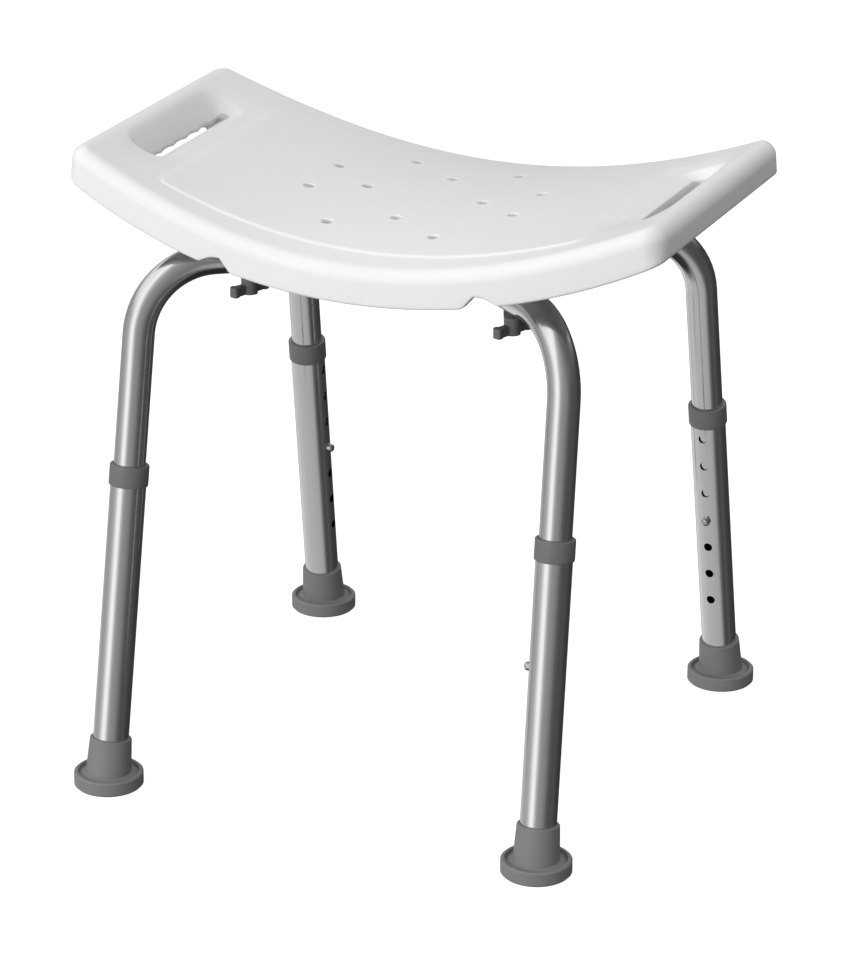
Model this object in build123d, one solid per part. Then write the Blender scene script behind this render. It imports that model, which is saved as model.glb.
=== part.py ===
from build123d import *
from math import asin, cos, degrees, pi, radians, sin, sqrt, tan
import os

# Bath and shower stool: a saddle-curved moulded seat on two crossed tubes whose four
# ends turn down into legs, each with a push-button height adjuster and a rubber tip.
# Millimetres. X runs along the seat, Y front to back (front negative), Z up, floor at 0.

# Seat
SEAT_LENGTH = 497.5
SEAT_END_DEPTH = 256.5
SEAT_BULGE = 22.9            # how far each long edge bows out at mid length
SEAT_CORNER = 14.0
RIM_TOP_MID = 447.3          # height of the long edges at mid length
CURVE_2 = 10.78e-4           # rise of the seat toward the ends, per square of X
CURVE_4 = 1.10e-9            # easing of that rise, per fourth power of X
CROWN = 11.5                 # how much the middle line stands above the long edges
RIM_HEIGHT_MID = 28.6
RIM_HEIGHT_END = 32.1
TOP_ROUNDING = 11.0
RIM_WALL = 9.0
INNER_CORNER = 12.0
CORE_INSET = 17.0
PAN_THICKNESS = 15.0
SKIN = 3.2
PANEL_RISE = 1.4
PANEL_MARGIN = 29.0
PANEL_HALF_LENGTH = 176.0
PANEL_CORNER = 6.0
DRAIN_DIAMETER = 8.4
DRAIN_SPOTS = [(45.0, 83.5), (87.5, 28.0), (0.0, 53.5), (49.5, 0.0)]

# Hand holes in the seat ends
GRIP_INNER = 198.0
GRIP_OUTER = 226.5
GRIP_HALF_WIDTH = 63.0
GRIP_CORNER = 10.0
GRIP_WALL = 5.5
FINGER_RADIUS = 40.0
FINGER_PITCH = 21.2
FINGER_DEPTH = 1.4

# Recesses in the lower edge of the long rims, above the thumb knobs
NOTCH_PROFILE = [(94.5, 424.0), (106.5, 438.2), (115.0, 437.4), (127.5, 432.0), (127.5, 418.0), (94.5, 418.0)]

# Crossed frame tubes
FRAME_OD = 25.4
FRAME_WALL = 1.5
ARM_HEIGHT = 420.5
ARM_CORNER = (178.4, 133.7)
BEND_RADIUS = 62.3
LAP_HALF_LENGTH = 19.0
LAP_WALL = 1.4

# Legs: each leans outward, more to the front and back than to the ends
LEG_LEAN = (0.0175, 0.156)
LEG_AT_FLOOR = (186.0, 199.5)
LEG_OD = 28.6
LEG_FIT = 0.05
LEG_BOTTOM = 9.0
LEG_TOP = 261.5
HOLE_PITCH = 25.4
HOLE_COUNT = 7
HOLE_DIAMETER = 7.2
BUTTON_HEIGHT = 160.0
BUTTON_DIAMETER = 7.0
BUTTON_PROUD = 4.6
FRAME_END_BELOW_BUTTON = 15.0
BUTTON_SIDES = {
    "front_left": (0, 1),
    "front_right": (-1, 0),
    "rear_left": (1, 0),
    "rear_right": (0, -1),
}

# Collars at the leg tops
COLLAR_OD = 31.4
COLLAR_HEIGHT = 22.0
COLLAR_LIP = 2.2

# Rubber tips
TIP_BASE_OD = 55.6
TIP_BASE_HEIGHT = 12.0
TIP_SOCKET_OD = 37.0
TIP_MOUTH_OD = 33.4
TIP_HEIGHT = 39.0
TIP_FLOOR = 8.0
DISC_THICKNESS = 1.2

# Thumb knobs under the arms
KNOB_SPOT = (112.0, 83.9)
KNOB_TOP_GAP = 3.4
KNOB_FLOAT = 0.05            # running gap between a knob and its saddle
KNOB_HEIGHT = 14.35
KNOB_HUB_OD = 13.8
KNOB_HUB_TAPER = 0.5
KNOB_REACH = 18.5
KNOB_NECK = 4.4
WING_TIP = (5.6, 7.4)        # length and width of the block at the end of each wing
WING_HEIGHT = 8.3
KNOB_TURN = 69.5             # how far the wings are turned from the X axis, in degrees
SADDLE_OD = 14.0
STUD_OD = 6.0
STUD_FIT = 0.05
STUD_DEPTH = 5.0             # plastic left under the stud in a knob
INSERT_OD = 10.0
INSERT_LENGTH = 14.0
BOSS_OD = 27.0
SEAT_CRADLE_GAP = 0.3

CORNERS = {
    "front_left": (-1, -1),
    "front_right": (1, -1),
    "rear_left": (-1, 1),
    "rear_right": (1, 1),
}
HALF_LENGTH = SEAT_LENGTH / 2
HALF_DEPTH_END = SEAT_END_DEPTH / 2
HALF_DEPTH_MID = HALF_DEPTH_END + SEAT_BULGE
FRAME_RADIUS = FRAME_OD / 2
LEG_BORE = FRAME_RADIUS + LEG_FIT
KNOB_TOP = ARM_HEIGHT - FRAME_RADIUS - KNOB_TOP_GAP


# ---------- seat surfaces ----------

def half_depth(x):
    """Half the seat depth at a distance x from the middle."""
    return HALF_DEPTH_END + SEAT_BULGE * (1 - (x / HALF_LENGTH) ** 2)


def edge_height(x):
    """Height of the long top edges."""
    return RIM_TOP_MID + CURVE_2 * x**2 - CURVE_4 * x**4


def seat_height(x, y):
    """Height of the seat top, crowned across its depth and flattening toward the ends."""
    fade = (1 - (x / HALF_LENGTH) ** 2) ** 2
    return edge_height(x) + CROWN * fade * (1 - (y / half_depth(x)) ** 2)


def rim_bottom(x):
    """Height of the lower edge of the rim."""
    return edge_height(x) - RIM_HEIGHT_MID - (RIM_HEIGHT_END - RIM_HEIGHT_MID) * (x / HALF_LENGTH) ** 2


def spread(limit, count):
    """Evenly spaced values from -limit to limit."""
    return [-limit + 2 * limit * step / (count - 1) for step in range(count)]


def seat_sheet(drop):
    """The seat's top surface lowered by drop, larger than the seat on every side."""
    rows = [
        [Vector(x, y, seat_height(x, y) - drop) for y in spread(HALF_DEPTH_MID + 12, 13)]
        for x in spread(HALF_LENGTH + 12, 27)
    ]
    return Face.make_surface_from_array_of_points(rows)


def above_sheet(drop):
    """Everything higher than the lowered seat surface."""
    return extrude(seat_sheet(drop), amount=150, dir=(0, 0, 1))


def below_sheet(drop):
    """Everything lower than the lowered seat surface."""
    return extrude(seat_sheet(drop), amount=150, dir=(0, 0, -1))


def below_rim():
    """Everything lower than the rim's lower edge."""
    curve = Spline([(x, rim_bottom(x)) for x in spread(HALF_LENGTH + 12, 13)])
    reach = HALF_LENGTH + 12
    sides = Polyline(curve @ 1, (reach, 330), (-reach, 330), curve @ 0)
    outline = make_face([curve, sides])
    return extrude(Plane.XZ * outline, amount=200, both=True)


def plan_outline(inset, corner):
    """The seat seen from above, drawn in by inset."""
    end = HALF_LENGTH - inset
    side = HALF_DEPTH_END - inset
    middle = HALF_DEPTH_MID - inset
    outline = make_face(
        [
            ThreePointArc((-end, -side), (0, -middle), (end, -side)),
            Line((end, -side), (end, side)),
            ThreePointArc((end, side), (0, middle), (-end, side)),
            Line((-end, side), (-end, -side)),
        ]
    )
    return fillet(outline.vertices(), corner)


def column(outline, low=380, high=560):
    """An outline seen from above, drawn through the seat's whole height."""
    return extrude(Pos(0, 0, low) * outline, amount=high - low)


# ---------- seat ----------

def panel_outline():
    """The raised sitting panel seen from above."""
    side = half_depth(PANEL_HALF_LENGTH) - PANEL_MARGIN
    middle = HALF_DEPTH_MID - PANEL_MARGIN
    reach = PANEL_HALF_LENGTH
    outline = make_face(
        [
            ThreePointArc((-reach, -side), (0, -middle), (reach, -side)),
            Line((reach, -side), (reach, side)),
            ThreePointArc((reach, side), (0, middle), (-reach, side)),
            Line((-reach, side), (-reach, -side)),
        ]
    )
    return fillet(outline.vertices(), PANEL_CORNER)


def grip_outline(grow=0.0):
    """One hand hole seen from above, at the +X end."""
    centre = (GRIP_INNER + GRIP_OUTER) / 2
    width = GRIP_OUTER - GRIP_INNER + 2 * grow
    return Pos(centre, 0) * RectangleRounded(width, 2 * (GRIP_HALF_WIDTH + grow), GRIP_CORNER + grow)


def finger_flutes():
    """Shallow finger hollows in the outer wall of the +X hand hole."""
    centre = GRIP_OUTER + FINGER_DEPTH - FINGER_RADIUS
    spots = [Pos(centre, step * FINGER_PITCH) * Circle(FINGER_RADIUS) for step in (-2, -1, 0, 1, 2)]
    window = Pos(GRIP_OUTER, 0) * Rectangle(20, 2 * GRIP_HALF_WIDTH - 6)
    return Sketch() + [spot & window for spot in spots]


def both_ends(shape):
    """A shape and its mirror image at the other end of the seat."""
    return [shape, mirror(shape, about=Plane.YZ)]


def drain_points():
    """Centres of all the drain holes."""
    points = []
    for x, y in DRAIN_SPOTS:
        for side_x in (-1, 1):
            for side_y in (-1, 1):
                points.append((side_x * x, side_y * y))
    return sorted(set(points))


def knob_points():
    """Centres of the four seat fixings."""
    return [(side_x * KNOB_SPOT[0], side_y * KNOB_SPOT[1]) for side_x, side_y in CORNERS.values()]


def notch_cuts():
    """Four recesses through the lower edge of the long rims."""
    profile = Plane.XZ * make_face(Polyline(NOTCH_PROFILE, close=True))
    near = Pos(0, -HALF_DEPTH_END - 3, 0) * extrude(profile, amount=40)
    pair = both_ends(near)
    return pair + [mirror(shape, about=Plane.XZ) for shape in pair]


def hollow_core():
    """The air space between the seat's two skins, solid around every opening."""
    core = column(plan_outline(CORE_INSET, INNER_CORNER)) - above_sheet(SKIN) - below_sheet(PAN_THICKNESS - SKIN)
    solid_spots = [Pos(x, y) * Circle(DRAIN_DIAMETER / 2 + 3) for x, y in drain_points()]
    solid_spots += [Pos(x, y) * Circle(BOSS_OD / 2) for x, y in knob_points()]
    solid_spots += both_ends(grip_outline(GRIP_WALL))
    for spot in solid_spots:
        core -= column(spot)
    return core


def seat_block():
    """The seat's outer form with its rounded edges."""
    block = column(plan_outline(0, SEAT_CORNER)) - above_sheet(0)
    top = block.faces().sort_by(Axis.Z)[-1]
    block = fillet(top.outer_wire().edges(), TOP_ROUNDING)
    return block - below_rim()


def seat_bosses():
    """Round posts under the pan, reaching down beside the tubes as cradles."""
    posts = []
    for x, y in knob_points():
        post = column(Pos(x, y) * Circle(BOSS_OD / 2), low=ARM_HEIGHT + 2)
        posts.append(post - above_sheet(PAN_THICKNESS - 2))
    return posts


def make_seat():
    """The moulded seat: rim, hollow pan, raised panel, hand holes, drains and bosses."""
    seat = seat_block()
    seat -= column(plan_outline(RIM_WALL, INNER_CORNER)) & below_sheet(PAN_THICKNESS)
    for wall in both_ends(grip_outline(GRIP_WALL)):
        seat += column(wall) - above_sheet(4) - below_rim()
    seat += column(panel_outline()) - above_sheet(-PANEL_RISE) - below_sheet(1.0)
    seat -= hollow_core()
    for opening in both_ends(grip_outline()) + both_ends(finger_flutes()):
        seat -= column(opening)
    seat += seat_bosses()
    for x, y in drain_points():
        seat -= column(Pos(x, y) * Circle(DRAIN_DIAMETER / 2))
    for x, y in knob_points():
        seat -= column(Pos(x, y) * Circle(INSERT_OD / 2), high=insert_top())
    for tube_line in (arm_line(1), arm_line(-1)):
        seat -= sweep_disc(tube_line, FRAME_RADIUS + SEAT_CRADLE_GAP)
    seat -= notch_cuts()
    return seat


# ---------- frame ----------

def leg_down(corner):
    """Unit vector down a leg."""
    side_x, side_y = CORNERS[corner]
    return Vector(side_x * LEG_LEAN[0], side_y * LEG_LEAN[1], -1).normalized()


def on_leg(corner, height):
    """The point on a leg's axis at a height above the floor."""
    side_x, side_y = CORNERS[corner]
    x = LEG_AT_FLOOR[0] - LEG_LEAN[0] * height
    y = LEG_AT_FLOOR[1] - LEG_LEAN[1] * height
    return Vector(side_x * x, side_y * y, height)


def leg_plane(corner, height):
    """A plane across a leg: its normal runs up the leg, its X axis faces the push button."""
    facing = Vector(*BUTTON_SIDES[corner], 0)
    up = leg_down(corner) * -1
    across = (facing - up * facing.dot(up)).normalized()
    return Plane(origin=on_leg(corner, height), x_dir=across, z_dir=up)


def frame_end_height():
    """Height at which a frame tube ends inside its leg."""
    return BUTTON_HEIGHT - FRAME_END_BELOW_BUTTON


def bend(corner):
    """Start, middle and end of the bend from a leg into its arm."""
    apex = on_leg(corner, ARM_HEIGHT)
    down = leg_down(corner)
    inward = Vector(-apex.X, -apex.Y, 0).normalized()
    opening = down.get_angle(inward)
    reach = BEND_RADIUS / tan(radians(opening / 2))
    bisector = (down + inward).normalized()
    middle = apex + bisector * (BEND_RADIUS / sin(radians(opening / 2)) - BEND_RADIUS)
    return apex + down * reach, middle, apex + inward * reach


def frame_line(first, last):
    """Centre line of one frame tube from leg to opposite leg."""
    low_a, mid_a, high_a = bend(first)
    low_b, mid_b, high_b = bend(last)
    return Wire(
        [
            Edge.make_line(on_leg(first, frame_end_height()), low_a),
            Edge.make_three_point_arc(low_a, mid_a, high_a),
            Edge.make_line(high_a, high_b),
            Edge.make_three_point_arc(high_b, mid_b, low_b),
            Edge.make_line(low_b, on_leg(last, frame_end_height())),
        ]
    )


def arm_line(side):
    """Straight line along one pair of arms."""
    corner_x, corner_y = ARM_CORNER
    return Edge.make_line((-corner_x, -side * corner_y, ARM_HEIGHT), (corner_x, side * corner_y, ARM_HEIGHT))


def sweep_disc(line, radius):
    """A round bar along a line."""
    start = Plane(origin=line @ 0, z_dir=line % 0)
    return sweep(start * Circle(radius), path=line)


def lap_pocket(side, up):
    """The pressed-in half of a tube where it crosses the other one, along one pair of arms."""
    angle = degrees(asin(ARM_CORNER[1] / sqrt(ARM_CORNER[0] ** 2 + ARM_CORNER[1] ** 2)))
    pocket = Box(2 * LAP_HALF_LENGTH, FRAME_OD + 2, FRAME_OD, align=(Align.CENTER, Align.CENTER, Align.MIN))
    turned = Rot(0, 0, side * angle) * (pocket if up else mirror(pocket, about=Plane.XY))
    return Pos(0, 0, ARM_HEIGHT) * turned


def make_frame_tube(first, last, side, up):
    """One frame tube, hollow, pressed flat on one side at the crossing and drilled."""
    line = frame_line(first, last)
    outer = sweep_disc(line, FRAME_RADIUS)
    inner = sweep_disc(line, FRAME_RADIUS - FRAME_WALL)
    pocket = lap_pocket(side, up)
    grown = offset(pocket, amount=LAP_WALL, kind=Kind.INTERSECTION)
    tube = outer - inner
    tube += outer & (grown - pocket)
    tube -= pocket
    tube -= Pos(0, 0, ARM_HEIGHT) * Cylinder(STUD_OD / 2 + 0.2, 60)
    for corner in (first, last):
        spot_x = CORNERS[corner][0] * KNOB_SPOT[0]
        spot_y = CORNERS[corner][1] * KNOB_SPOT[1]
        tube -= Pos(spot_x, spot_y, ARM_HEIGHT) * Cylinder(STUD_OD / 2 + 0.3, 60)
        tube -= leg_plane(corner, BUTTON_HEIGHT) * Pos(10, 0, 0) * Rot(0, 90, 0) * Cylinder(HOLE_DIAMETER / 2, 20)
    return tube


def hexagon_bar(across_flats, height):
    """A hexagonal bar standing on the XY plane."""
    return extrude(RegularPolygon(across_flats / 2, 6, major_radius=False), amount=height)


def make_cross_bolt():
    """The bolt that ties the two tubes where they cross, head underneath."""
    low = ARM_HEIGHT - FRAME_RADIUS
    bolt = Pos(0, 0, low - 1.2 - 4.0) * hexagon_bar(10, 4.0)
    bolt += Pos(0, 0, low - 1.2) * Cylinder(STUD_OD / 2, FRAME_OD + 9.0, align=(Align.CENTER, Align.CENTER, Align.MIN))
    return bolt


def make_cross_nut():
    """The nut on top of the crossing, with a light running fit on the bolt."""
    nut = Pos(0, 0, ARM_HEIGHT + FRAME_RADIUS + 1.2) * hexagon_bar(10, 5.0)
    return nut - Pos(0, 0, ARM_HEIGHT) * Cylinder(STUD_OD / 2 + STUD_FIT, 60)


def make_cross_washers():
    """Washers under the bolt head and under the nut."""
    ring = Cylinder(7.0, 1.2, align=(Align.CENTER, Align.CENTER, Align.MIN)) - Cylinder(STUD_OD / 2 + 0.2, 6)
    lower = Pos(0, 0, ARM_HEIGHT - FRAME_RADIUS - 1.2) * ring
    upper = Pos(0, 0, ARM_HEIGHT + FRAME_RADIUS) * ring
    return [lower, upper]


# ---------- seat fixings ----------

def insert_top():
    """Height of the top of the threaded inserts."""
    return ARM_HEIGHT + FRAME_RADIUS + SEAT_CRADLE_GAP + 0.7 + INSERT_LENGTH


def make_inserts():
    """Metal threaded inserts moulded into the seat bosses."""
    low = insert_top() - INSERT_LENGTH
    ring = Cylinder(INSERT_OD / 2, INSERT_LENGTH, align=(Align.CENTER, Align.CENTER, Align.MIN))
    ring -= Cylinder(STUD_OD / 2 + STUD_FIT, 3 * INSERT_LENGTH)
    return [Pos(x, y, low) * ring for x, y in knob_points()]


def arm_angle(corner):
    """Angle of an arm from the X axis, in degrees."""
    side_x, side_y = CORNERS[corner]
    return side_x * side_y * degrees(asin(KNOB_SPOT[1] / sqrt(KNOB_SPOT[0] ** 2 + KNOB_SPOT[1] ** 2)))


def make_saddles():
    """Spacers with a hollow top that seat each knob against its round tube."""
    saddles = []
    for corner in CORNERS:
        body = Cylinder(SADDLE_OD / 2, 9, align=(Align.CENTER, Align.CENTER, Align.MIN))
        body -= Pos(0, 0, KNOB_TOP_GAP + FRAME_RADIUS) * Rot(0, 90, 0) * Cylinder(FRAME_RADIUS + 0.02, 40)
        body -= Cylinder(STUD_OD / 2 + 0.3, 40)
        x = CORNERS[corner][0] * KNOB_SPOT[0]
        y = CORNERS[corner][1] * KNOB_SPOT[1]
        saddles.append(Pos(x, y, KNOB_TOP) * Rot(0, 0, arm_angle(corner)) * body)
    return saddles


def knob_wing(angle):
    """One wing of a thumb knob: a thin neck with a rounded block at its end."""
    length, width = WING_TIP
    blade = Pos(KNOB_REACH / 2 - 1, 0) * Rectangle(KNOB_REACH - 2, KNOB_NECK)
    blade += Pos(KNOB_REACH - length / 2, 0) * RectangleRounded(length, width, 1.9)
    wing = extrude(blade, amount=WING_HEIGHT)
    wing = fillet(wing.faces().sort_by(Axis.Z)[0].edges(), 0.7)
    return Rot(0, 0, angle) * wing


def make_knob(corner):
    """A thumb knob with a tapered hub and two opposite wings."""
    top = KNOB_HUB_OD / 2
    knob = Cone(top - KNOB_HUB_TAPER, top, KNOB_HEIGHT, align=(Align.CENTER, Align.CENTER, Align.MIN))
    for turn in (0, 180):
        knob += knob_wing(KNOB_TURN + turn)
    knob -= Pos(0, 0, STUD_DEPTH) * Cylinder(STUD_OD / 2, KNOB_HEIGHT, align=(Align.CENTER, Align.CENTER, Align.MIN))
    x = CORNERS[corner][0] * KNOB_SPOT[0]
    y = CORNERS[corner][1] * KNOB_SPOT[1]
    return Pos(x, y, KNOB_TOP - KNOB_FLOAT - KNOB_HEIGHT) * knob


def make_stud(corner):
    """The threaded stud fixed in a knob, reaching up through the arm into the insert."""
    x = CORNERS[corner][0] * KNOB_SPOT[0]
    y = CORNERS[corner][1] * KNOB_SPOT[1]
    low = KNOB_TOP - KNOB_FLOAT - KNOB_HEIGHT + STUD_DEPTH
    length = insert_top() - 2 - low
    stud = Cylinder(STUD_OD / 2, length, align=(Align.CENTER, Align.CENTER, Align.MIN))
    stud = chamfer(stud.edges().sort_by(Axis.Z)[-1], 0.6)
    return Pos(x, y, low) * stud


# ---------- legs ----------

def along_leg(height_from, height_to):
    """Distance along a leg between two heights."""
    return (height_to - height_from) * sqrt(1 + LEG_LEAN[0] ** 2 + LEG_LEAN[1] ** 2)


def leg_hole_offsets():
    """Positions of the height holes along a leg, measured from the button."""
    middle = (HOLE_COUNT - 1) / 2
    return [(step - middle) * HOLE_PITCH for step in range(HOLE_COUNT)]


def make_leg_tube(corner):
    """The lower leg tube with its row of height holes on one side."""
    length = along_leg(LEG_BOTTOM, LEG_TOP - COLLAR_LIP)
    tube = Cylinder(LEG_OD / 2, length, align=(Align.CENTER, Align.CENTER, Align.MIN))
    tube -= Cylinder(LEG_BORE, 3 * length)
    tube = leg_plane(corner, LEG_BOTTOM) * tube
    for shift in leg_hole_offsets():
        drill = Pos(LEG_OD / 2, 0, shift) * Rot(0, 90, 0) * Cylinder(HOLE_DIAMETER / 2, LEG_OD / 2)
        tube -= leg_plane(corner, BUTTON_HEIGHT) * drill
    return tube


def make_collar(corner):
    """The plastic sleeve that caps a leg tube and guides the frame tube."""
    collar = Cylinder(COLLAR_OD / 2, COLLAR_HEIGHT, align=(Align.CENTER, Align.CENTER, Align.MAX))
    collar = chamfer(collar.edges().group_by(Axis.Z)[-1], 1.0)
    collar -= Cylinder(LEG_BORE, 3 * COLLAR_HEIGHT)
    sleeve = Cylinder(LEG_OD / 2, COLLAR_HEIGHT, align=(Align.CENTER, Align.CENTER, Align.MAX))
    collar -= Pos(0, 0, -COLLAR_LIP) * sleeve
    return leg_plane(corner, LEG_TOP) * collar


def tip_base():
    """The wide foot of a rubber tip: a thick lip round a dished top."""
    radius = TIP_BASE_OD / 2
    socket = TIP_SOCKET_OD / 2
    profile = make_face(
        Polyline(
            (0, 0), (radius - 1.5, 0), (radius, 1.5), (radius, TIP_BASE_HEIGHT - 1.2),
            (radius - 1.2, TIP_BASE_HEIGHT), (radius - 3.2, TIP_BASE_HEIGHT),
            (radius - 4.6, TIP_BASE_HEIGHT - 2.2), (socket - 2, TIP_BASE_HEIGHT + 0.6), (0, TIP_BASE_HEIGHT + 0.6),
            close=True,
        )
    )
    return revolve(Plane.XZ * profile, axis=Axis.Z)


def make_tip(corner):
    """A rubber tip: flat foot on the floor, tapered socket in line with the leg."""
    centre = on_leg(corner, TIP_BASE_HEIGHT)
    base = Pos(centre.X, centre.Y, 0) * tip_base()
    rise = along_leg(TIP_BASE_HEIGHT / 2, TIP_HEIGHT)
    cone = Cone(TIP_SOCKET_OD / 2, TIP_MOUTH_OD / 2, rise, align=(Align.CENTER, Align.CENTER, Align.MIN))
    cone = fillet(cone.edges().sort_by(Axis.Z)[-1], 1.0)
    tip = base + leg_plane(corner, TIP_BASE_HEIGHT / 2) * cone
    bore = Cylinder(LEG_OD / 2, TIP_HEIGHT * 2, align=(Align.CENTER, Align.CENTER, Align.MIN))
    return tip - leg_plane(corner, TIP_FLOOR - DISC_THICKNESS) * bore


def make_disc(corner):
    """The steel disc that keeps a leg tube from cutting through its tip."""
    disc = Cylinder(LEG_OD / 2 - 0.1, DISC_THICKNESS, align=(Align.CENTER, Align.CENTER, Align.MIN))
    return leg_plane(corner, LEG_BOTTOM) * Pos(0, 0, -DISC_THICKNESS) * disc


def make_button(corner):
    """A snap button: round-nosed pin with a head inside the frame tube."""
    nose = LEG_OD / 2 + BUTTON_PROUD
    root = FRAME_RADIUS - FRAME_WALL - 4.2
    pin = Pos(0, 0, root) * Cylinder(BUTTON_DIAMETER / 2, nose - root, align=(Align.CENTER, Align.CENTER, Align.MIN))
    pin = fillet(pin.edges().sort_by(Axis.Z)[-1], 2.4)
    head = Pos(0, 0, root) * Cylinder(BUTTON_DIAMETER / 2 + 1.0, 1.2, align=(Align.CENTER, Align.CENTER, Align.MIN))
    return leg_plane(corner, BUTTON_HEIGHT) * Rot(0, 90, 0) * (pin + head)


def make_clip(corner):
    """The V-shaped leaf spring inside the frame tube that carries the button."""
    root = FRAME_RADIUS - FRAME_WALL - 4.2
    back = FRAME_RADIUS - FRAME_WALL - 1.4
    line = Polyline((root - 0.4, -6), (root - 0.4, 12), (0, 52), (-back, 52 - 4), (-back, -6))
    strip = Plane.XZ * trace(line, 0.8)
    leaf = extrude(strip, amount=3.0, both=True)
    return leg_plane(corner, BUTTON_HEIGHT) * leaf


# ---------- export ----------

def all_parts():
    """Every named subcomponent."""
    parts = {
        "seat_shell": make_seat(),
        "frame_tube_front_left": make_frame_tube("front_left", "rear_right", 1, True),
        "frame_tube_front_right": make_frame_tube("front_right", "rear_left", -1, False),
        "cross_bolt": make_cross_bolt(),
        "cross_nut": make_cross_nut(),
        "cross_washers": make_cross_washers(),
        "seat_inserts": make_inserts(),
        "knob_saddles": make_saddles(),
    }
    for corner in CORNERS:
        parts["leg_tube_" + corner] = make_leg_tube(corner)
        parts["leg_collar_" + corner] = make_collar(corner)
        parts["foot_tip_" + corner] = make_tip(corner)
        parts["foot_disc_" + corner] = make_disc(corner)
        parts["snap_button_" + corner] = make_button(corner)
        parts["button_spring_" + corner] = make_clip(corner)
        parts["thumb_knob_" + corner] = make_knob(corner)
        parts["knob_stud_" + corner] = make_stud(corner)
    return parts


os.makedirs("parts", exist_ok=True)
for name, shape in all_parts().items():
    solids = shape if isinstance(shape, list) else shape.solids()
    body = solids[0] if len(solids) == 1 else Compound(children=list(solids))
    body.label = name
    export_step(body, "parts/" + name + ".step")
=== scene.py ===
from math import ceil, cos, pi, radians, sin, sqrt

import bmesh
import bpy
from mathutils import Matrix, Vector
from mathutils.geometry import delaunay_2d_cdt


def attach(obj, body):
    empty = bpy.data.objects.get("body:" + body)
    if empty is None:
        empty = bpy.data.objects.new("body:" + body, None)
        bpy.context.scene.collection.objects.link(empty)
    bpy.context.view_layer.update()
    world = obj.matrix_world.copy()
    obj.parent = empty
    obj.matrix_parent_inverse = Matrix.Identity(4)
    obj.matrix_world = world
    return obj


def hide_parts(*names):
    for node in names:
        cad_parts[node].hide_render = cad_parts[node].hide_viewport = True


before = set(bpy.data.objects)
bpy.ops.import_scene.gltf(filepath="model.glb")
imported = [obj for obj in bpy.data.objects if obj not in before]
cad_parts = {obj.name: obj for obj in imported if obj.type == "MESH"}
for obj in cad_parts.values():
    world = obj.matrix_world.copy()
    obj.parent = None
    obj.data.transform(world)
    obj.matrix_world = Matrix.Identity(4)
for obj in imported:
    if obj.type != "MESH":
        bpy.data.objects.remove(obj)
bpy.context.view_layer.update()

# A shower stool: a white moulded seat on two crossed aluminium tubes, whose four ends
# turn down into height-adjustable legs with grey collars and rubber feet. Metres.
# X runs along the seat, Y front to back (front negative), Z up, floor at 0.

# Seat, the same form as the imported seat_shell
HALF_LENGTH = 0.24875
HALF_DEPTH_END = 0.12825
BULGE = 0.0229
CORNER_TOP = 0.015
CORNER_LOW = 0.0115
EDGE_MID = 0.4489
CURVE_2 = 1.05
CURVE_4 = 1.10
CROWN = 0.0099
RIM_MID = 0.0302
RIM_END = 0.0320
RIM_BELLY = 0.0022
TOP_ROUNDING = 0.011
LOW_ROUNDING = 0.002
RIM_WALL = 0.009
PAN = 0.015
PANEL_RISE = 0.0014
PANEL_MARGIN = 0.029
PANEL_HALF = 0.176
PANEL_CORNER = 0.006
STEP_WIDTH = 0.0026
STEP_WIDTH_END = 0.0085
DRAIN_RADIUS = 0.0042
DRAIN_LIP = 0.0009
DRAINS = [(0.045, 0.0835), (0.0875, 0.028), (0.0, 0.0535), (0.0495, 0.0)]
NOTCH = [(0.0945, 0.4240), (0.1065, 0.4382), (0.1150, 0.4374), (0.1275, 0.4320)]

# Hand holes in the seat ends
GRIP_CENTRE = 0.20825
GRIP_HALF_X = 0.00725
GRIP_HALF_Y = 0.064
GRIP_CORNER = 0.007
GRIP_INNER = GRIP_CENTRE - GRIP_HALF_X
GRIP_SKIN = 0.0026
GRIP_DIP = 0.0025
GRIP_DIP_WIDTH = 0.038
SCOOP_WIDTH = {"outer": 0.0155, "end": 0.0115, "inner": 0.012}
SCOOP_DEPTH = {"outer": 0.015, "end": 0.0072, "inner": 0.0055}
SCOOP_EASE = 0.35
RIB_START = 0.066
RIB_WIDTH = 0.0045
FLUTE_RADIUS = 0.040
FLUTE_PITCH = 0.0212
FLUTE_DEPTH = 0.0014

# Bosses under the seat, cradling the arms of the frame
KNOB_SPOT = (0.112, 0.0839)
BOSS_RADIUS = 0.0135
ARM_HEIGHT = 0.4205
CRADLE_RADIUS = 0.013

CORNER_SIDES = {"front_left": (-1, -1), "front_right": (1, -1), "rear_left": (-1, 1), "rear_right": (1, 1)}

# Legs, and the collars round their upper ends
LEG_AT_FLOOR = (0.186, 0.1995)
LEG_LEAN = (0.0175, 0.156)
LEG_RADIUS = 0.0143
COLLAR_TOP = 0.2615
COLLAR_RADIUS = 0.0157
COLLAR_BORE = 0.01285
COLLAR_SLEEVE = 0.01435
COLLAR_HEIGHT = 0.0172
COLLAR_LIP = 0.0022
COLLAR_ROUND = 0.0011


# ---------- small helpers ----------

def ease(low, high, value):
    """Smooth step from 0 at low to 1 at high."""
    t = min(max((value - low) / (high - low), 0.0), 1.0)
    return t * t * (3 - 2 * t)


def steps(low, high, count):
    """Evenly spaced values including both ends."""
    return [low + (high - low) * index / (count - 1) for index in range(count)]


def corner_distance(along, across, corner):
    """Distance past a shape with rounded corners, from the distances past its two sides."""
    a = along + corner
    b = across + corner
    return sqrt(max(a, 0.0) ** 2 + max(b, 0.0) ** 2) + min(max(a, b), 0.0) - corner


def round_drop(distance, radius, slope=0.0):
    """How far a rounded edge has fallen below a surface, at a distance in from its wall.

    The surface rises by slope toward the wall, and the rounding is an arc tangent to both.
    """
    if distance >= radius * (1 + slope / sqrt(1 + slope**2)):
        return 0.0
    offset = radius - max(distance, 0.0)
    return slope * offset + radius * sqrt(1 + slope**2) - sqrt(max(radius**2 - offset**2, 0.0))


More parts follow.
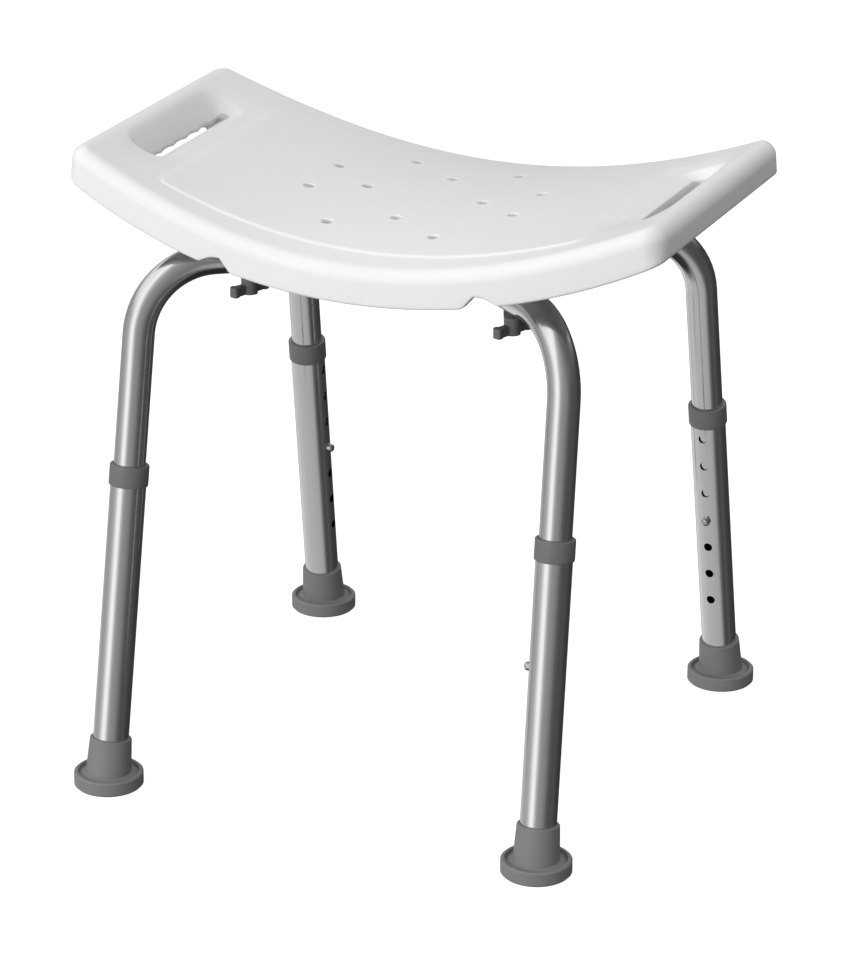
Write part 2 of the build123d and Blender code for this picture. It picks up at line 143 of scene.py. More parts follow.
def quarter_insets(radius, count):
    """Insets that divide a quarter-round edge evenly along its arc, from its wall inward."""
    return [radius * (1 - cos(angle)) for angle in steps(0, pi / 2, count + 1)[1:]]


# ---------- seat form ----------

def half_depth(x):
    """Half the seat's depth at a distance x from the middle."""
    return HALF_DEPTH_END + BULGE * (1 - (x / HALF_LENGTH) ** 2)


def edge_height(x):
    """Height of the long top edges."""
    return EDGE_MID + CURVE_2 * x**2 - CURVE_4 * x**4


def saddle(x, y):
    """The seat's curved surface, before any rounding."""
    fade = (1 - (x / HALF_LENGTH) ** 2) ** 2
    return edge_height(x) + CROWN * fade * (1 - (y / (half_depth(x) - TOP_ROUNDING)) ** 2)


def notch_top(x):
    """Height of the cut in the rim's lower edge beside a thumb knob, or 0 away from it."""
    place = abs(x)
    for (x0, z0), (x1, z1) in zip(NOTCH, NOTCH[1:]):
        if x0 <= place <= x1:
            return z0 + (z1 - z0) * (place - x0) / (x1 - x0)
    return 0.0


def rim_bottom(x, y):
    """Height of the rim's lower edge, raised at the four notches."""
    share = (x / HALF_LENGTH) ** 2
    low = edge_height(x) - RIM_MID - (RIM_END - RIM_MID) * share - RIM_BELLY * 4 * share * (1 - share)
    near_side = abs(y) > half_depth(x) - 2 * RIM_WALL
    return max(low, notch_top(x)) if near_side else low


def outline_distance(x, y, corner=CORNER_TOP):
    """Distance outside the seat's outline, negative inside it."""
    return corner_distance(abs(x) - HALF_LENGTH, abs(y) - half_depth(x), corner)


def panel_distance(x, y):
    """Distance outside the raised sitting panel."""
    return corner_distance(abs(x) - PANEL_HALF, abs(y) - half_depth(x) + PANEL_MARGIN, PANEL_CORNER)


def flute(y):
    """Depth of the finger hollows along a hand hole's outer wall."""
    depth = 0.0
    for number in (-2, -1, 0, 1, 2):
        offset = y - number * FLUTE_PITCH
        if abs(offset) < FLUTE_RADIUS:
            depth = max(depth, sqrt(FLUTE_RADIUS**2 - offset**2) - FLUTE_RADIUS + FLUTE_DEPTH)
    return depth


def grip_distance(x, y, fluted=True):
    """Distance outside the nearer hand hole, negative inside it."""
    along = abs(x) - GRIP_CENTRE
    if fluted and along > 0:
        along -= flute(y)
    return corner_distance(abs(along) - GRIP_HALF_X, abs(y) - GRIP_HALF_Y, GRIP_CORNER)


def grip_blend(x, y, values):
    """A value given for a hand hole's outer side, ends and inner side, blended round its corners."""
    along = abs(x) - GRIP_CENTRE
    across = max(abs(along) - GRIP_HALF_X + GRIP_CORNER, 0.0) ** 2
    lengthwise = max(abs(y) - GRIP_HALF_Y + GRIP_CORNER, 0.0) ** 2
    side = across / max(across + lengthwise, 1e-9)
    return values["outer" if along > 0 else "inner"] * side + values["end"] * (1 - side)


def scoop(x, y):
    """How far the dished sides of a hand hole have fallen, with finger grooves down the outer one."""
    width = grip_blend(x, y, SCOOP_WIDTH)
    depth = grip_blend(x, y, SCOOP_DEPTH)
    inward = min(1 - grip_distance(x, y, False) / width, 1.0)
    if inward <= 0:
        return 0.0
    slope = inward**2 / (2 * SCOOP_EASE) if inward < SCOOP_EASE else inward - SCOOP_EASE / 2
    slope /= 1 - SCOOP_EASE / 2
    groove = 1.3 * flute(y) * inward * grip_blend(x, y, {"outer": 1.0, "end": 0.0, "inner": 0.0})
    return depth * slope + groove


def nearest(x, y, spots, radius):
    """Distance from the rim of the nearest of some mirrored round spots."""
    return min(sqrt((abs(x) - px) ** 2 + (abs(y) - py) ** 2) for px, py in spots) - radius


def drain_distance(x, y):
    """Distance to the edge of the nearest drain hole."""
    return nearest(x, y, DRAINS, DRAIN_RADIUS)


def boss_distance(x, y):
    """Distance to the side of the nearest boss."""
    return nearest(x, y, [KNOB_SPOT], BOSS_RADIUS)


def slope_toward(x, y, distance, reach=1e-5):
    """Rise of the saddle for each unit of growth of a distance field, and that field's value."""
    here = distance(x, y)
    grow_x = (distance(x + reach, y) - here) / reach
    grow_y = (distance(x, y + reach) - here) / reach
    rise_x = (saddle(x + reach, y) - saddle(x, y)) / reach
    rise_y = (saddle(x, y + reach) - saddle(x, y)) / reach
    return rise_x * grow_x + rise_y * grow_y, here


def grip_dip(x, y):
    """How far the seat sinks round a hand hole, on every side but the outer one."""
    outward = 1 - ease(0.215, 0.231, abs(x))
    return GRIP_DIP * outward * (1 - ease(0.0, GRIP_DIP_WIDTH, grip_distance(x, y, False)))


def step_width(x, y):
    """Width of the raised panel's edge, softer along its two short sides."""
    past_end = abs(x) - PANEL_HALF
    past_side = abs(y) - half_depth(x) + PANEL_MARGIN
    return STEP_WIDTH + (STEP_WIDTH_END - STEP_WIDTH) * ease(-0.004, 0.008, past_end - past_side)


def top_height(x, y):
    """Height of the finished top: saddle, raised panel, rounded edges and softened holes."""
    z = saddle(x, y)
    half_step = step_width(x, y) / 2
    z += PANEL_RISE * (1 - ease(-half_step, half_step, panel_distance(x, y)))
    slope, outside = slope_toward(x, y, outline_distance)
    z -= round_drop(-outside, TOP_ROUNDING, slope)
    z -= scoop(x, y) + grip_dip(x, y)
    z -= round_drop(drain_distance(x, y), DRAIN_LIP)
    return z


def cradle_height(x, y):
    """Underside of a boss, hollowed to clear the round arm beneath it."""
    reach = sqrt(KNOB_SPOT[0] ** 2 + KNOB_SPOT[1] ** 2)
    off_axis = abs(abs(x) * KNOB_SPOT[1] - abs(y) * KNOB_SPOT[0]) / reach
    if off_axis >= CRADLE_RADIUS:
        return ARM_HEIGHT + 0.002
    return ARM_HEIGHT + max(sqrt(CRADLE_RADIUS**2 - off_axis**2), 0.002)


def wall_share(x, y):
    """1 where the underside is rim or the ribs round a hand hole, 0 where it is the pan."""
    inset = -outline_distance(x, y, CORNER_LOW)
    rim = 1 - ease(RIM_WALL, RIM_WALL + 0.0012, inset)
    inside_ribs = max(GRIP_INNER - abs(x), abs(y) - RIB_START)
    past_ribs = inside_ribs - RIB_WIDTH
    ribs = ease(-0.0008, 0.0, inside_ribs) * (1 - ease(0.0, 0.0008, past_ribs))
    return max(rim, ribs)


def under_height(x, y):
    """Height of the underside: rim, pan, hand-hole ribs and bosses."""
    wall = wall_share(x, y)
    low = rim_bottom(x, y) + round_drop(-outline_distance(x, y, CORNER_LOW), LOW_ROUNDING)
    pan = min(saddle(x, y) - PAN, top_height(x, y) - GRIP_SKIN)
    low = low * wall + pan * (1 - wall)
    boss = 1 - ease(-0.0006, 0.0, boss_distance(x, y))
    return low * (1 - boss) + cradle_height(x, y) * boss


# ---------- seat outlines seen from above ----------

def mirrored(quarter):
    """A closed anticlockwise loop from its +X +Y quarter, which runs from the X axis to the Y axis."""
    half = quarter + [(-x, y) for x, y in reversed(quarter[:-1])]
    return half + [(x, -y) for x, y in reversed(half[1:-1])]


def outline_ring(inset, corner=CORNER_TOP):
    """Points round the seat's outline, drawn in by inset; every ring has the same number of points."""
    centre_x = HALF_LENGTH - corner
    radius = corner - inset
    side_y = half_depth(HALF_LENGTH - inset) - corner
    side = [(HALF_LENGTH - inset, y) for y in steps(0, side_y, 42)]
    turn = []
    for angle in steps(0, pi / 2, 15):
        x = centre_x + radius * cos(angle)
        turn.append((x, half_depth(x) - corner + radius * sin(angle)))
    front = [(x, half_depth(x) - inset) for x in steps(centre_x, 0, 88)]
    return mirrored(side[:-1] + turn + front[1:])


def panel_ring(shift, spacing=0.004):
    """Points round the raised panel's edge, moved outward by shift."""
    centre_x = PANEL_HALF - PANEL_CORNER
    radius = PANEL_CORNER + shift
    side_y = half_depth(PANEL_HALF) - PANEL_MARGIN - PANEL_CORNER
    side = [(PANEL_HALF + shift, y) for y in steps(0, side_y, ceil(side_y / spacing))]
    turn = []
    for angle in steps(0, pi / 2, 7):
        x = centre_x + radius * cos(angle)
        turn.append((x, half_depth(x) - PANEL_MARGIN - PANEL_CORNER + radius * sin(angle)))
    front = [(x, half_depth(x) - PANEL_MARGIN + shift) for x in steps(centre_x, 0, ceil(centre_x / spacing))]
    return mirrored(side[:-1] + turn + front[1:])


def grip_ring(grow, side, fluted=True, spacing=0.0022):
    """Points round one hand hole, moved outward by grow."""
    radius = GRIP_CORNER + grow
    half_x = GRIP_HALF_X - GRIP_CORNER
    half_y = GRIP_HALF_Y - GRIP_CORNER
    side_points = [(half_x + radius, y) for y in steps(0, half_y, ceil(half_y / spacing))]
    turn = [(half_x + radius * cos(a), half_y + radius * sin(a)) for a in steps(0, pi / 2, 11)]
    top = [(x, half_y + radius) for x in steps(half_x, 0, 3)]
    loop = mirrored(side_points[:-1] + turn + top[1:])
    placed = []
    for x, y in loop:
        push = flute(y) if fluted and x > 0 else 0.0
        placed.append((GRIP_CENTRE + x + push, y))
    return placed if side > 0 else [(-x, y) for x, y in reversed(placed)]


def circle_ring(centre, radius, count=32):
    """Points round a circle."""
    angles = steps(0, 2 * pi, count + 1)[:-1]
    return [(centre[0] + radius * cos(a), centre[1] + radius * sin(a)) for a in angles]


def in_four(spots):
    """Spots given in one quarter of the seat, repeated in all four."""
    return sorted({(sx * x + 0.0, sy * y + 0.0) for x, y in spots for sx in (-1, 1) for sy in (-1, 1)})


def field(pitch, clear):
    """A staggered field of points wherever clear(x, y) is true."""
    half_y = HALF_DEPTH_END + BULGE
    points = []
    for row, y in enumerate(steps(-half_y, half_y, ceil(2 * half_y / pitch))):
        for column in range(ceil(2 * HALF_LENGTH / pitch)):
            x = -HALF_LENGTH + (column + 0.5 * (row % 2)) * pitch
            if clear(x, y):
                points.append((x, y))
    return points


# ---------- seat mesh ----------

def hole_loops():
    """The hand holes and drain holes seen from above."""
    drains = [circle_ring(spot, DRAIN_RADIUS) for spot in in_four(DRAINS)]
    return [grip_ring(0.0, side) for side in (-1, 1)] + drains


def rib_line(shift, spacing=0.0025):
    """Points along the ribs round both hand holes, moved outward from their inner faces by shift."""
    start = GRIP_INNER - shift
    half_y = RIB_START + shift
    arm = [(x, half_y) for x in steps(HALF_LENGTH, start, ceil((HALF_LENGTH - start) / spacing))]
    line = arm[:-1] + [(start, y) for y in steps(half_y, 0, ceil(half_y / spacing))]
    return in_four(line)


def top_points():
    """Points that carry the rounded edges, lips and steps of the seat's top."""
    points = []
    for inset in quarter_insets(TOP_ROUNDING, 11) + steps(1.13 * TOP_ROUNDING, 1.6 * TOP_ROUNDING, 5):
        points += [p for p in outline_ring(inset) if -outline_distance(*p) < 1.15 * grip_distance(*p)]
    for shift in steps(-0.7 * STEP_WIDTH, 0.7 * STEP_WIDTH, 6) + [-0.0042, -0.0030, 0.0030, 0.0042]:
        points += panel_ring(shift)
    for side in (-1, 1):
        for grow in steps(0.0008, 0.0175, 15):
            ring = grip_ring(grow, side, False)
            points += [p for p in ring if -outline_distance(*p) >= 1.15 * grow and grip_distance(*p) > 0.0006]
    for spot in in_four(DRAINS):
        for grow in quarter_insets(DRAIN_LIP, 3) + [0.0016, 0.003]:
            points += circle_ring(spot, DRAIN_RADIUS + grow)
    return points + field(0.005, clear_of_top_rings)


def clear_of_top_rings(x, y):
    """True away from the rings of points that the top already has."""
    return (
        outline_distance(x, y) < -0.0195
        and grip_distance(x, y) > 0.0198
        and drain_distance(x, y) > 0.0045
        and abs(panel_distance(x, y)) > 0.0062
    )


def under_points():
    """Points that carry the walls and bosses of the seat's underside."""
    points = []
    for inset in quarter_insets(LOW_ROUNDING, 4) + [0.0055] + steps(RIM_WALL, RIM_WALL + 0.0012, 5):
        points += outline_ring(inset, CORNER_LOW)
    for side in (-1, 1):
        for grow in steps(0.0012, 0.0145, 8):
            points += [p for p in grip_ring(grow, side) if clear_of_ribs(*p)]
    for shift in [-0.0008, -0.0004, 0.0, 0.0022] + steps(RIB_WIDTH, RIB_WIDTH + 0.0008, 3):
        line = [p for p in rib_line(shift) if grip_distance(*p) > 0.0006]
        points += [p for p in line if outline_distance(*p, CORNER_LOW) < -0.0105]
    for spot in in_four([KNOB_SPOT]):
        for radius in (0.0020, 0.0045, 0.0070, 0.0095, 0.0115, 0.0129, 0.0132, 0.0135):
            points += circle_ring(spot, radius, 64)
    return points + field(0.0065, clear_of_under_rings)


def clear_of_under_rings(x, y):
    """True away from the rings of points that the underside already has."""
    return (
        outline_distance(x, y, CORNER_LOW) < -0.0125
        and grip_distance(x, y) > 0.0165
        and clear_of_ribs(x, y)
        and drain_distance(x, y) > 0.002
        and boss_distance(x, y) > 0.002
    )


def clear_of_ribs(x, y):
    """True inside the rim and off the sides of the ribs."""
    inside_ribs = max(GRIP_INNER - abs(x), abs(y) - RIB_START)
    off_ribs = inside_ribs < -0.0012 or inside_ribs > RIB_WIDTH + 0.0015
    return off_ribs and outline_distance(x, y, CORNER_LOW) < -0.0112


def sheet(loops, points, height, corner):
    """A triangulated height field between the seat's outline and its holes."""
    flat = []
    edges = []
    for loop in loops:
        first = len(flat)
        flat += [Vector(point) for point in loop]
        edges += [(first + k, first + (k + 1) % len(loop)) for k in range(len(loop))]
    flat += [Vector(point) for point in points]
    verts, _, faces, _, _, _ = delaunay_2d_cdt(flat, edges, [], 0, 1e-7)
    kept = []
    for face in faces:
        x = sum(verts[i].x for i in face) / len(face)
        y = sum(verts[i].y for i in face) / len(face)
        if outline_distance(x, y, corner) < 0 and grip_distance(x, y) > 0 and drain_distance(x, y) > 0:
            kept.append(tuple(face))
    return [Vector((v.x, v.y, height(v.x, v.y))) for v in verts], kept


def add_wall(verts, faces, top, bottom, rows):
    """A wall from one closed loop of points down to another."""
    first = len(verts)
    count = len(top)
    for row in range(rows + 1):
        verts += [high.lerp(low, row / rows) for high, low in zip(top, bottom)]
    for row in range(rows):
        for k in range(count):
            here = first + row * count + k
            beside = first + row * count + (k + 1) % count
            faces.append((here, here + count, beside + count, beside))


def raised(loop, height):
    """A flat loop lifted to a height field."""
    return [Vector((x, y, height(x, y))) for x, y in loop]


def make_mesh(name, verts, faces):
    """A new object from points and faces, with doubled points joined."""
    mesh = bpy.data.meshes.new(name)
    mesh.from_pydata(verts, [], faces)
    piece = bpy.data.objects.new(name, mesh)
    bpy.context.scene.collection.objects.link(piece)
    work = bmesh.new()
    work.from_mesh(mesh)
    bmesh.ops.remove_doubles(work, verts=work.verts, dist=2e-6)
    bmesh.ops.dissolve_degenerate(work, edges=work.edges, dist=1e-7)
    bmesh.ops.recalc_face_normals(work, faces=work.faces)
    work.to_mesh(mesh)
    work.free()
    return piece


def shade_smooth(piece, angle):
    """Smooth shading, with a crease wherever faces meet more sharply than angle."""
    piece.data.polygons.foreach_set("use_smooth", [True] * len(piece.data.polygons))
    piece.data.set_sharp_from_angle(angle=radians(angle))


def make_seat():
    """The moulded seat as one closed skin."""
    top_loops = [outline_ring(0.0)] + hole_loops()
    low_loops = [outline_ring(0.0, CORNER_LOW)] + hole_loops()
    verts, faces = sheet(top_loops, top_points(), top_height, CORNER_TOP)
    low_verts, low_faces = sheet(low_loops, under_points(), under_height, CORNER_LOW)
    first = len(verts)
    verts += low_verts
    faces += [tuple(first + index for index in reversed(face)) for face in low_faces]
    for top, bottom in zip(top_loops, low_loops):
        add_wall(verts, faces, raised(top, top_height), raised(bottom, under_height), 8)
    seat = make_mesh("seat", verts, faces)
    shade_smooth(seat, 35)
    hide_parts("seat_shell")
    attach(seat, "seat_frame")
    return seat


# ---------- collars ----------

def collar_frame(corner):
    """The top centre of a collar, with Z up along its leg."""
    side_x, side_y = CORNER_SIDES[corner]
    up = Vector((-side_x * LEG_LEAN[0], -side_y * LEG_LEAN[1], 1))
    x = side_x * (LEG_AT_FLOOR[0] - LEG_LEAN[0] * COLLAR_TOP)
    y = side_y * (LEG_AT_FLOOR[1] - LEG_LEAN[1] * COLLAR_TOP)
    return Matrix.Translation((x, y, COLLAR_TOP)) @ up.to_track_quat("Z", "Y").to_matrix().to_4x4()


def collar_profile():
    """The collar's section as (radius, height) points, from its bore out over both rims."""
    core = COLLAR_RADIUS - COLLAR_ROUND
    turns = steps(0, pi / 2, 5)
    upper = [(core + COLLAR_ROUND * sin(turn), COLLAR_ROUND * (cos(turn) - 1)) for turn in turns]
    lower = [(radius, -COLLAR_HEIGHT - height) for radius, height in reversed(upper)]
    inside = [(COLLAR_SLEEVE, -COLLAR_HEIGHT), (COLLAR_SLEEVE, -COLLAR_LIP), (COLLAR_BORE, -COLLAR_LIP)]
    return upper + lower + inside + [(COLLAR_BORE, 0.0)]


def make_collar(corner, count=64):
    """A plastic sleeve round the top of one leg tube, turned from its section."""
    place = collar_frame(corner)
    profile = collar_profile()
    turns = [2 * pi * index / count for index in range(count)]
    verts = []
    for radius, height in profile:
        verts += [place @ Vector((radius * cos(turn), radius * sin(turn), height)) for turn in turns]
    faces = []
    for row in range(len(profile)):
        here = row * count
        after = (row + 1) % len(profile) * count
        for index in range(count):
            beside = (index + 1) % count
            faces.append((here + index, after + index, after + beside, here + beside))
    collar = make_mesh("collar_" + corner, verts, faces)
    shade_smooth(collar, 35)
    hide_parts("leg_collar_" + corner)
    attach(collar, "leg_" + corner)
    return collar


# ---------- materials ----------

def new_material(name, colour, metallic, roughness):
    """A Principled material; returns it with its node tree and shader."""
    material = bpy.data.materials.new(name)
    material.use_nodes = True
    tree = material.node_tree
    shader = tree.nodes["Principled BSDF"]
    shader.inputs["Base Color"].default_value = (*colour, 1)
    shader.inputs["Metallic"].default_value = metallic
    shader.inputs["Roughness"].default_value = roughness
    return material, tree, shader


def noise(tree, scale, detail=4.0, stretch=(1, 1, 1)):
    """Noise in object space; returns its value socket."""
    place = tree.nodes.new("ShaderNodeTexCoord")
    mapping = tree.nodes.new("ShaderNodeMapping")
    mapping.inputs["Scale"].default_value = stretch
    texture = tree.nodes.new("ShaderNodeTexNoise")
    texture.inputs["Scale"].default_value = scale
    texture.inputs["Detail"].default_value = detail
    tree.links.new(place.outputs["Object"], mapping.inputs["Vector"])
    tree.links.new(mapping.outputs["Vector"], texture.inputs["Vector"])
    return texture.outputs["Fac"]


def spread_to(tree, value, low, high):
    """A value between 0 and 1 mapped to a new range."""
    node = tree.nodes.new("ShaderNodeMapRange")
    node.inputs["From Min"].default_value = 0.3
    node.inputs["From Max"].default_value = 0.7
    node.inputs["To Min"].default_value = low
    node.inputs["To Max"].default_value = high
    tree.links.new(value, node.inputs["Value"])
    return node.outputs["Result"]


def tint(tree, value, dark, light):
    """A colour between dark and light."""
    node = tree.nodes.new("ShaderNodeMix")
    node.data_type = "RGBA"
    node.inputs["A"].default_value = (*dark, 1)
    node.inputs["B"].default_value = (*light, 1)
    tree.links.new(value, node.inputs["Factor"])
    return node.outputs["Result"]


def bump(tree, shader, value, distance, strength=1.0):
    """Fine relief in the shader's normal."""
    node = tree.nodes.new("ShaderNodeBump")
    node.inputs["Distance"].default_value = distance
    node.inputs["Strength"].default_value = strength
    tree.links.new(value, node.inputs["Height"])
    tree.links.new(node.outputs["Normal"], shader.inputs["Normal"])


def seat_material():
    """White polyethylene: satin, with a faint moulded grain and slight mottling."""
    material, tree, shader = new_material("white_plastic", (0.84, 0.84, 0.845), 0.0, 0.42)
    mottle = noise(tree, 14, 3.0)
    colour = tint(tree, mottle, (0.825, 0.827, 0.832), (0.855, 0.855, 0.858))
    tree.links.new(colour, shader.inputs["Base Color"])
    tree.links.new(spread_to(tree, noise(tree, 60, 5.0), 0.38, 0.48), shader.inputs["Roughness"])
    bump(tree, shader, noise(tree, 900, 2.0), 0.00002, 0.35)
    shader.inputs["Specular IOR Level"].default_value = 0.45
    shader.inputs["Subsurface Weight"].default_value = 0.35
    shader.inputs["Subsurface Radius"].default_value = (1.0, 1.0, 1.0)
    shader.inputs["Subsurface Scale"].default_value = 0.006
    return material


def aluminium_material(name, colour, roughness):
    """Satin anodised aluminium with fine drawn lines down its length."""
    material, tree, shader = new_material(name, colour, 1.0, roughness)
    lines = noise(tree, 260, 3.0, (1, 1, 0.03))
    cloud = noise(tree, 22, 4.0)
    dark = tuple(channel * 0.95 for channel in colour)
    tree.links.new(tint(tree, cloud, dark, colour), shader.inputs["Base Color"])
    tree.links.new(spread_to(tree, lines, roughness - 0.03, roughness + 0.05), shader.inputs["Roughness"])
    bump(tree, shader, lines, 0.00001, 0.15)
    return material


def vector_step(tree, operation, value, other=(0, 0, 0)):
    """One vector operation; returns its node."""
    node = tree.nodes.new("ShaderNodeVectorMath")
    node.operation = operation
    node.inputs[1].default_value = other
    tree.links.new(value, node.inputs[0])
    return node


def tube_material_with_painted_hole_shade(name, colour, roughness):
    """The leg tubes' aluminium, with painted shade: the bore and the walls of the drilled holes, everything
    inside the tube's outer skin, are painted near black in place of the shadow in the holes.
    """
    material = aluminium_material(name, colour, roughness)
    tree = material.node_tree
    shader = tree.nodes["Principled BSDF"]
    place = tree.nodes.new("ShaderNodeTexCoord")
    quarter = vector_step(tree, "ABSOLUTE", place.outputs["Object"]).outputs["Vector"]
    from_axis = vector_step(tree, "SUBTRACT", quarter, (*LEG_AT_FLOOR, 0)).outputs["Vector"]
    along = Vector((-LEG_LEAN[0], -LEG_LEAN[1], 1)).normalized()
    across = vector_step(tree, "CROSS_PRODUCT", from_axis, along).outputs["Vector"]
    # Painted shade mask: 0 inside the tube's outer skin, where the bore and hole walls lie, 1 on the outer
    # skin
    outside = tree.nodes.new("ShaderNodeMapRange")
    outside.inputs["From Min"].default_value = LEG_RADIUS - 0.0004
    outside.inputs["From Max"].default_value = LEG_RADIUS - 0.0002
    tree.links.new(vector_step(tree, "LENGTH", across).outputs["Value"], outside.inputs["Value"])
    clean = shader.inputs["Base Color"].links[0].from_socket
    # Painted shade: a near-black colour on the bore and hole walls, standing in for the shadow inside the
    # holes
    mix = tree.nodes.new("ShaderNodeMix")
    mix.data_type = "RGBA"
    mix.inputs["A"].default_value = (0.03, 0.03, 0.03, 1)
    tree.links.new(outside.outputs["Result"], mix.inputs["Factor"])
    tree.links.new(clean, mix.inputs["B"])
    tree.links.new(mix.outputs["Result"], shader.inputs["Base Color"])
    return material


def moulded_material(name, colour, roughness, grain):
    """Dull moulded plastic or rubber with a fine grain."""
    material, tree, shader = new_material(name, colour, 0.0, roughness)
    dark = tuple(channel * 0.88 for channel in colour)
    tree.links.new(tint(tree, noise(tree, 45, 4.0), dark, colour), shader.inputs["Base Color"])
    worn = spread_to(tree, noise(tree, 120, 5.0), roughness - 0.05, roughness + 0.07)
    tree.links.new(worn, shader.inputs["Roughness"])
    bump(tree, shader, noise(tree, 1400, 2.0), grain, 0.5)
    return material


def metal_material(name, colour, roughness):
    """Small bright metal parts with light wear."""
    material, tree, shader = new_material(name, colour, 1.0, roughness)
    worn = spread_to(tree, noise(tree, 300, 5.0), roughness - 0.06, roughness + 0.1)
    tree.links.new(worn, shader.inputs["Roughness"])
    return material


def dress(prefix, material):
    """Gives every CAD node whose name starts with prefix one material."""
    for name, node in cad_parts.items():
        if name.startswith(prefix):
            node.data.materials.clear()
            node.data.materials.append(material)


# ---------- camera, light and floor ----------

CAMERA_PLACE = (1.33417, -2.93477, 1.50225)
CAMERA_AZIMUTH = 24.45
CAMERA_ELEVATION = 21.65
CAMERA_ROLL = 0.2
CAMERA_LENS = 162.55


def add_camera():
    """The camera: front right of the seat and above it."""
    camera = bpy.data.cameras.new("camera")
    camera.lens = CAMERA_LENS
    camera.sensor_width = 36
    camera.clip_end = 50
    holder = bpy.data.objects.new("camera", camera)
    turn = Matrix.Rotation(radians(CAMERA_AZIMUTH), 4, "Z")
    tilt = Matrix.Rotation(radians(90 - CAMERA_ELEVATION), 4, "X")
    roll = Matrix.Rotation(radians(CAMERA_ROLL), 4, "Z")
    holder.matrix_world = Matrix.Translation(CAMERA_PLACE) @ turn @ tilt @ roll
    bpy.context.scene.collection.objects.link(holder)
    bpy.context.scene.camera = holder


def area_light(name, place, target, size, power):
    """A soft rectangular light aimed at a point."""
    light = bpy.data.lights.new(name, "AREA")
    light.shape = "RECTANGLE"
    light.size = size[0]
    light.size_y = size[1]
    light.energy = power
    holder = bpy.data.objects.new(name, light)
    aim = Vector(target) - Vector(place)
    holder.location = place
    holder.rotation_euler = aim.to_track_quat("-Z", "Y").to_euler()
    holder.visible_glossy = False
    bpy.context.scene.collection.objects.link(holder)
    return holder


def ring_ramp(tree, value, stops):
    """A ramp of greys round the compass, from (degrees right of the camera, grey) stops."""
    node = tree.nodes.new("ShaderNodeValToRGB")
    node.color_ramp.interpolation = "EASE"
    placed = sorted((((turn + CAMERA_SIDE + 180) % 360) / 360, grey) for turn, grey in stops)
    elements = node.color_ramp.elements
    while len(elements) < len(placed):
        elements.new(0.5)
    for element, (place, grey) in zip(elements, placed):
        element.position = place
        element.color = (grey, grey, grey, 1)
    tree.links.new(value, node.inputs["Fac"])
    return node.outputs["Color"]


def fade_in(tree, height, low, high):
    """0 below one height and 1 above another."""
    node = tree.nodes.new("ShaderNodeMapRange")
    node.inputs["From Min"].default_value = low
    node.inputs["From Max"].default_value = high
    tree.links.new(height, node.inputs["Value"])
    return node.outputs["Result"]


def grey_mix(tree, factor, low, high):
    """Mixes two grey sockets."""
    mix = tree.nodes.new("ShaderNodeMix")
    mix.data_type = "RGBA"
    tree.links.new(factor, mix.inputs["Factor"])
    tree.links.new(low, mix.inputs["A"])
    tree.links.new(high, mix.inputs["B"])
    return mix.outputs["Result"]


def banded(tree, around, height, bands):
    """Greys round the compass in bands, each fading in over the one below it."""
    shade = ring_ramp(tree, around, bands[0][2])
    for low, high, stops in bands[1:]:
        shade = grey_mix(tree, fade_in(tree, height, low, high), shade, ring_ramp(tree, around, stops))
    return shade


def studio_world():
    """Soft light all round, and the strip lights and dark screens that metal reflects."""
    world = bpy.data.worlds.new("studio")
    bpy.context.scene.world = world
    world.use_nodes = True
    tree = world.node_tree
    place = tree.nodes.new("ShaderNodeTexCoord")
    split = tree.nodes.new("ShaderNodeSeparateXYZ")
    tree.links.new(place.outputs["Generated"], split.inputs["Vector"])
    turn = tree.nodes.new("ShaderNodeMath")
    turn.operation = "ARCTAN2"
    tree.links.new(split.outputs["Y"], turn.inputs[0])
    tree.links.new(split.outputs["X"], turn.inputs[1])
    around = tree.nodes.new("ShaderNodeMapRange")
    around.inputs["From Min"].default_value = -pi
    around.inputs["From Max"].default_value = pi
    tree.links.new(turn.outputs["Value"], around.inputs["Value"])
    soft = banded(tree, around.outputs["Result"], split.outputs["Z"], SOFT_LIGHT)
    reflected = banded(tree, around.outputs["Result"], split.outputs["Z"], REFLECTED)
    rays = tree.nodes.new("ShaderNodeLightPath")
    whole = grey_mix(tree, rays.outputs["Is Glossy Ray"], soft, reflected)
    tree.links.new(whole, tree.nodes["Background"].inputs["Color"])

CAMERA_SIDE = CAMERA_AZIMUTH - 90

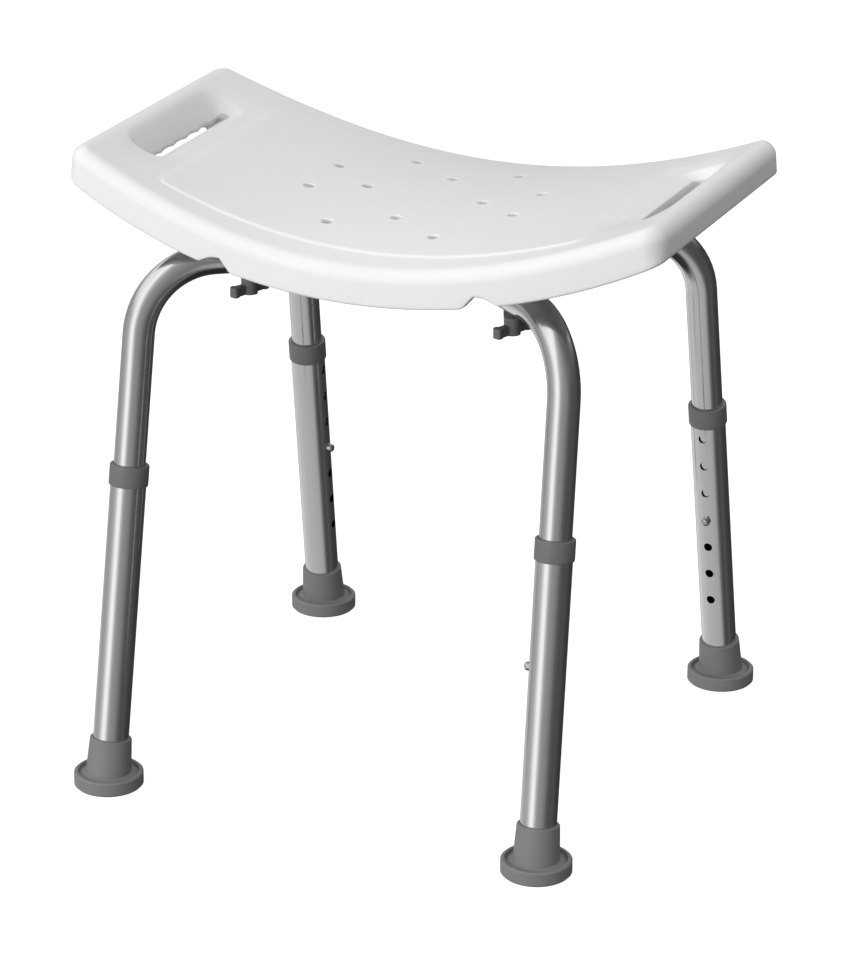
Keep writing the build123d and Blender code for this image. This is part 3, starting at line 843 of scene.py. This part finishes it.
# Brightness of the studio in bands of height: where each band starts and has fully faded in,
# then its greys as (degrees to the right of the camera, level)
SOFT_LIGHT = [
    (-1.0, -1.0, [(-150, 0.14), (-60, 0.19), (10, 0.15), (60, 0.05), (130, 0.04)]),
    (-0.45, -0.15, [
        (-172, 0.08), (-144, 0.55), (-40, 0.50), (22, 0.45), (42, 0.10), (84, 0.09), (130, 0.03), (172, 0.03),
    ]),
    (0.15, 0.5, [(-90, 0.905), (90, 0.905)]),
]
REFLECTED = [
    (-1.0, -1.0, [(-90, 0.03), (90, 0.02)]),
    (-0.88, -0.74, [
        (-175, 0.10), (-150, 0.75), (-125, 0.62), (-100, 0.54), (-60, 0.47), (-20, 0.45), (8, 0.42),
        (26, 0.36), (38, 0.13), (54, 0.06), (76, 0.085), (96, 0.05), (130, 0.035),
    ]),
    (-0.46, -0.24, [
        (-170, 0.30), (-110, 0.33), (-82, 0.42), (-66, 0.68), (-54, 1.02), (-40, 0.98), (-26, 0.46),
        (-14, 0.30), (4, 0.26), (22, 0.19), (38, 0.10), (60, 0.072), (85, 0.07), (110, 0.045), (150, 0.04),
    ]),
    (0.15, 0.45, [
        (-170, 0.85), (-120, 0.75), (-80, 0.85), (-62, 1.0), (-46, 0.95), (-26, 0.42), (0, 0.27),
        (30, 0.15), (70, 0.09), (100, 0.12), (140, 0.60), (165, 0.85),
    ]),
]


def floor_plane():
    """A wide white floor that glows a little, seen by the camera alone."""
    mesh = bpy.data.meshes.new("floor")
    reach = 20
    corners = [(-reach, -reach, 0), (reach, -reach, 0), (reach, reach, 0), (-reach, reach, 0)]
    mesh.from_pydata(corners, [], [(0, 1, 2, 3)])
    floor = bpy.data.objects.new("floor", mesh)
    bpy.context.scene.collection.objects.link(floor)
    material, tree, shader = new_material("floor_white", (0.35, 0.35, 0.35), 0.0, 0.9)
    shader.inputs["Emission Color"].default_value = (1, 1, 1, 1)
    shader.inputs["Emission Strength"].default_value = 0.9
    shader.inputs["Specular IOR Level"].default_value = 0.0
    mesh.materials.append(material)
    floor.visible_glossy = False
    floor.visible_diffuse = False


seat = make_seat()
seat.data.materials.append(seat_material())
dress("seat_shell", seat.data.materials[0])
dress("frame_tube", aluminium_material("frame_aluminium", (0.90, 0.90, 0.90), 0.16))
dress("leg_tube", tube_material_with_painted_hole_shade("leg_aluminium", (0.90, 0.90, 0.90), 0.16))
collar_plastic = moulded_material("collar_plastic", (0.165, 0.165, 0.17), 0.42, 0.00002)
for corner in CORNER_SIDES:
    make_collar(corner).data.materials.append(collar_plastic)
dress("leg_collar", collar_plastic)
dress("foot_tip", moulded_material("tip_rubber", (0.21, 0.21, 0.213), 0.5, 0.00004))
dress("thumb_knob", moulded_material("knob_plastic", (0.15, 0.15, 0.155), 0.34, 0.00003))
dress("knob_saddles", moulded_material("saddle_plastic", (0.06, 0.06, 0.063), 0.4, 0.00003))
steel = metal_material("steel", (0.62, 0.62, 0.61), 0.28)
for prefix in ("cross_", "snap_button", "button_spring", "foot_disc", "knob_stud"):
    dress(prefix, steel)
dress("seat_inserts", metal_material("brass", (0.75, 0.56, 0.28), 0.3))

add_camera()
studio_world()
area_light("key", (-1.3, -4.0, 0.9), (0, 0, 0.4), (1.8, 1.2), 94)
floor_plane()
bpy.context.scene.view_settings.view_transform = "Standard"
